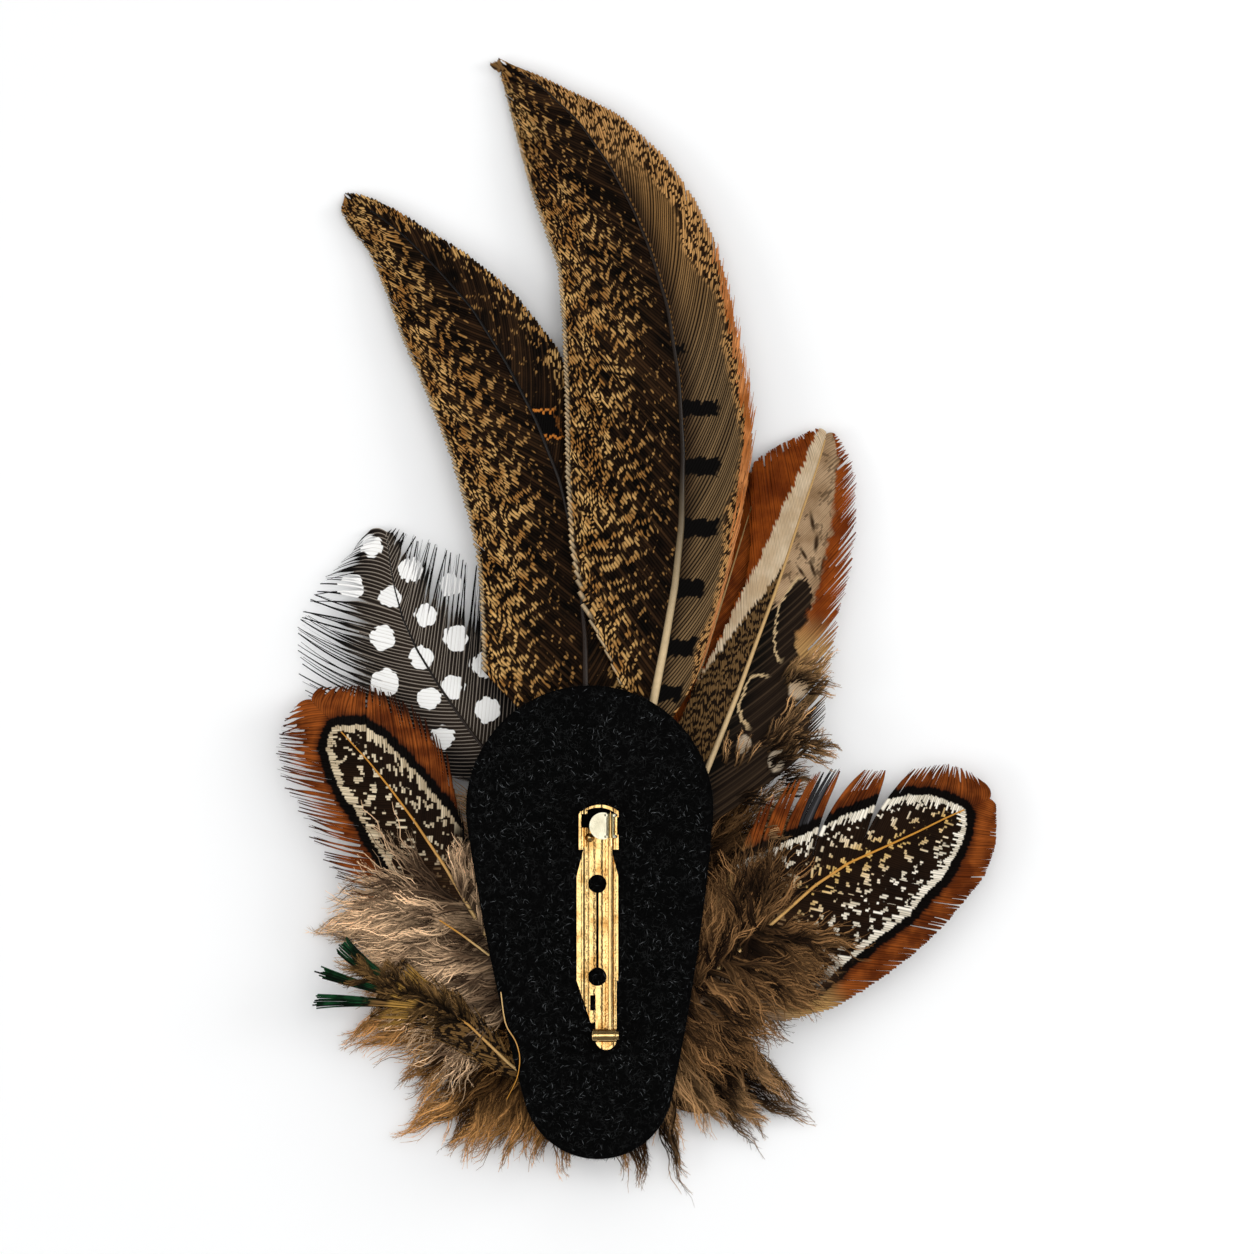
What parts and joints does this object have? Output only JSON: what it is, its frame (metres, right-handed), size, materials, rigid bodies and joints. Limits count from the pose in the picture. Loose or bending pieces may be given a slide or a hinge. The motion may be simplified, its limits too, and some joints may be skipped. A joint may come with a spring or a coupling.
{
  "type": "feather hat plume",
  "caption": "Feather hat plume on an egg-shaped felt backing, with a locking bar brooch pin on its back.",
  "frame": {"origin": "on the axis of the brooch pin's needle, halfway along its straight shank", "axes": "+Y along the needle and up the plume to its tallest feather, +Z out of the back where the pin is, +X to the right seen from the back"},
  "size_m": [0.0937, 0.1479, 0.0146],
  "materials": {
    "felt": "matt black felt",
    "brass": "polished",
    "pale_brass": "polished",
    "tail_brown": "mottled brown and buff feather",
    "spotted_black": "black feather with white spots",
    "chestnut": "chestnut feather with cream bands",
    "buff": "buff and rufous feather",
    "rufous": "rufous feather",
    "green_black": "black feather with a green sheen",
    "down_brown": "fluffy grey-brown down"
  },
  "bodies": {
    "plume": {"felt_backing": "felt", "bar_plate": "brass", "hinge_rivet": "brass", "tail_feather_tall": "tail_brown", "tail_feather_left": "tail_brown", "spotted_feather": "spotted_black", "chestnut_feather_left": "chestnut", "chestnut_feather_right": "chestnut", "buff_feather_right": "buff", "rufous_feather": "rufous", "green_feather": "green_black", "down_left": "down_brown", "down_bottom_left": "down_brown", "down_bottom": "down_brown", "down_bottom_right": "down_brown", "down_right": "down_brown", "down_top": "down_brown"},
    "needle": {"pin_needle": "brass"},
    "lock": {"catch_lock": "pale_brass"}
  },
  "joints": [
    {"name": "needle_hinge", "type": "hinge", "parent": "plume", "child": "needle", "pos_m": [0, -0.0142, 0], "axis": [1, 0, 0], "range_deg": [0, 80]},
    {"name": "lock_turn", "type": "hinge", "parent": "plume", "child": "lock", "pos_m": [0, 0.01305, 0], "axis": [0, 1, 0], "range_deg": [0, 90]}
  ]
}
